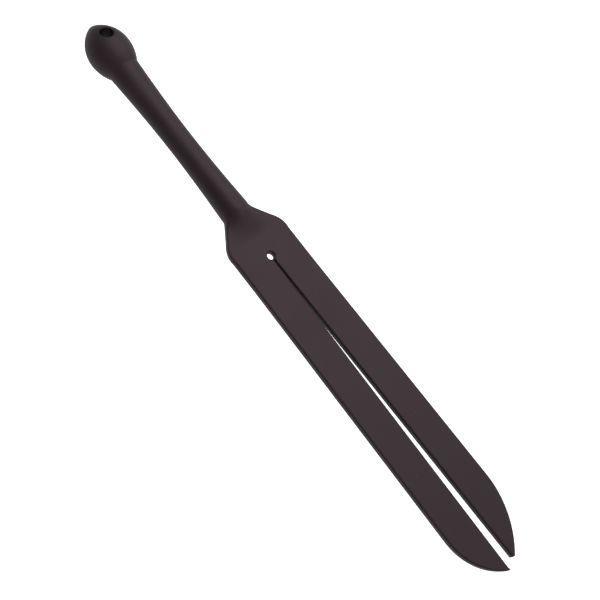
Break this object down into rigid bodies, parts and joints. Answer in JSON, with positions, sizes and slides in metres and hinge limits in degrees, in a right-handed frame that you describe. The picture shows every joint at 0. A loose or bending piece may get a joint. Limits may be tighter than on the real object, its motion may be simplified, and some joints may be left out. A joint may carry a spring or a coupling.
{
  "type": "split-tail rubber strap",
  "caption": "Soft rubber strap with a round waisted grip, an egg-shaped end with a hang hole, and a flat blade slit into two flexible tails with curved points.",
  "frame": {"origin": "middle of the hang hole, on the grip's axis and in the blade's middle plane", "axes": "+X runs from the pommel to the tail tips, +Z is square to the blade's upper face and is the hang hole's axis, and the left tail lies on +Y"},
  "size_m": [0.4312, 0.0512, 0.0294],
  "materials": {
    "black_rubber": "satin moulded black rubber",
    "core_steel": "drawn wire, bonded into the rubber"
  },
  "bodies": {
    "handle": {"pommel": "black_rubber", "grip": "black_rubber", "stiffening_core": "core_steel", "shoulder": "black_rubber"},
    "blade_root": {"blade_root": "black_rubber"},
    "tail_left_root": {"tail_left_root": "black_rubber"},
    "tail_left_zone_1": {"tail_left_zone_1": "black_rubber"},
    "tail_left_zone_2": {"tail_left_zone_2": "black_rubber"},
    "tail_left_zone_3": {"tail_left_zone_3": "black_rubber"},
    "tail_left_zone_4": {"tail_left_zone_4": "black_rubber"},
    "tail_left_zone_5": {"tail_left_zone_5": "black_rubber"},
    "tail_left_tip": {"tail_left_tip": "black_rubber"},
    "tail_right_root": {"tail_right_root": "black_rubber"},
    "tail_right_zone_1": {"tail_right_zone_1": "black_rubber"},
    "tail_right_zone_2": {"tail_right_zone_2": "black_rubber"},
    "tail_right_zone_3": {"tail_right_zone_3": "black_rubber"},
    "tail_right_zone_4": {"tail_right_zone_4": "black_rubber"},
    "tail_right_zone_5": {"tail_right_zone_5": "black_rubber"},
    "tail_right_tip": {"tail_right_tip": "black_rubber"}
  },
  "joints": [
    {"name": "blade_root_bend", "type": "hinge", "parent": "handle", "child": "blade_root", "pos_m": [0.16614, 0, 0], "axis": [0, -1, 0], "range_deg": [-35, 35], "stiffness_Nm_per_rad": 0.068},
    {"name": "tail_left_splay", "type": "hinge", "parent": "blade_root", "child": "tail_left_root", "pos_m": [0.18914, 0.0118, 0], "axis": [0, 0, 1], "range_deg": [-0.7, 12], "stiffness_Nm_per_rad": 0.701},
    {"name": "tail_left_bend_1", "type": "hinge", "parent": "tail_left_root", "child": "tail_left_zone_1", "pos_m": [0.21714, 0.01217, 0], "axis": [0.0131, -0.9999, 0], "range_deg": [-40, 40], "stiffness_Nm_per_rad": 0.0236},
    {"name": "tail_left_bend_2", "type": "hinge", "parent": "tail_left_zone_1", "child": "tail_left_zone_2", "pos_m": [0.25114, 0.01261, 0], "axis": [0.0131, -0.9999, 0], "range_deg": [-40, 40], "stiffness_Nm_per_rad": 0.0236},
    {"name": "tail_left_bend_3", "type": "hinge", "parent": "tail_left_zone_2", "child": "tail_left_zone_3", "pos_m": [0.28513, 0.01306, 0], "axis": [0.0131, -0.9999, 0], "range_deg": [-40, 40], "stiffness_Nm_per_rad": 0.0236},
    {"name": "tail_left_twist", "type": "hinge", "parent": "tail_left_zone_3", "child": "tail_left_zone_4", "pos_m": [0.31413, 0.01344, 0], "axis": [-0.9999, -0.0131, 0], "range_deg": [-30, 30], "stiffness_Nm_per_rad": 0.0374},
    {"name": "tail_left_bend_4", "type": "hinge", "parent": "tail_left_zone_4", "child": "tail_left_zone_5", "pos_m": [0.34313, 0.01382, 0], "axis": [0.0131, -0.9999, 0], "range_deg": [-40, 40], "stiffness_Nm_per_rad": 0.0236},
    {"name": "tail_left_bend_5", "type": "hinge", "parent": "tail_left_zone_5", "child": "tail_left_tip", "pos_m": [0.37713, 0.01426, 0], "axis": [0.0131, -0.9999, 0], "range_deg": [-40, 40], "stiffness_Nm_per_rad": 0.0236},
    {"name": "tail_right_splay", "type": "hinge", "parent": "blade_root", "child": "tail_right_root", "pos_m": [0.18914, -0.0118, 0], "axis": [0, 0, -1], "range_deg": [-0.7, 12], "stiffness_Nm_per_rad": 0.701},
    {"name": "tail_right_bend_1", "type": "hinge", "parent": "tail_right_root", "child": "tail_right_zone_1", "pos_m": [0.21714, -0.01217, 0], "axis": [-0.0131, -0.9999, 0], "range_deg": [-40, 40], "stiffness_Nm_per_rad": 0.0236},
    {"name": "tail_right_bend_2", "type": "hinge", "parent": "tail_right_zone_1", "child": "tail_right_zone_2", "pos_m": [0.25114, -0.01261, 0], "axis": [-0.0131, -0.9999, 0], "range_deg": [-40, 40], "stiffness_Nm_per_rad": 0.0236},
    {"name": "tail_right_bend_3", "type": "hinge", "parent": "tail_right_zone_2", "child": "tail_right_zone_3", "pos_m": [0.28513, -0.01306, 0], "axis": [-0.0131, -0.9999, 0], "range_deg": [-40, 40], "stiffness_Nm_per_rad": 0.0236},
    {"name": "tail_right_twist", "type": "hinge", "parent": "tail_right_zone_3", "child": "tail_right_zone_4", "pos_m": [0.31413, -0.01344, 0], "axis": [0.9999, -0.0131, 0], "range_deg": [-30, 30], "stiffness_Nm_per_rad": 0.0374},
    {"name": "tail_right_bend_4", "type": "hinge", "parent": "tail_right_zone_4", "child": "tail_right_zone_5", "pos_m": [0.34313, -0.01382, 0], "axis": [-0.0131, -0.9999, 0], "range_deg": [-40, 40], "stiffness_Nm_per_rad": 0.0236},
    {"name": "tail_right_bend_5", "type": "hinge", "parent": "tail_right_zone_5", "child": "tail_right_tip", "pos_m": [0.37713, -0.01426, 0], "axis": [-0.0131, -0.9999, 0], "range_deg": [-40, 40], "stiffness_Nm_per_rad": 0.0236}
  ]
}
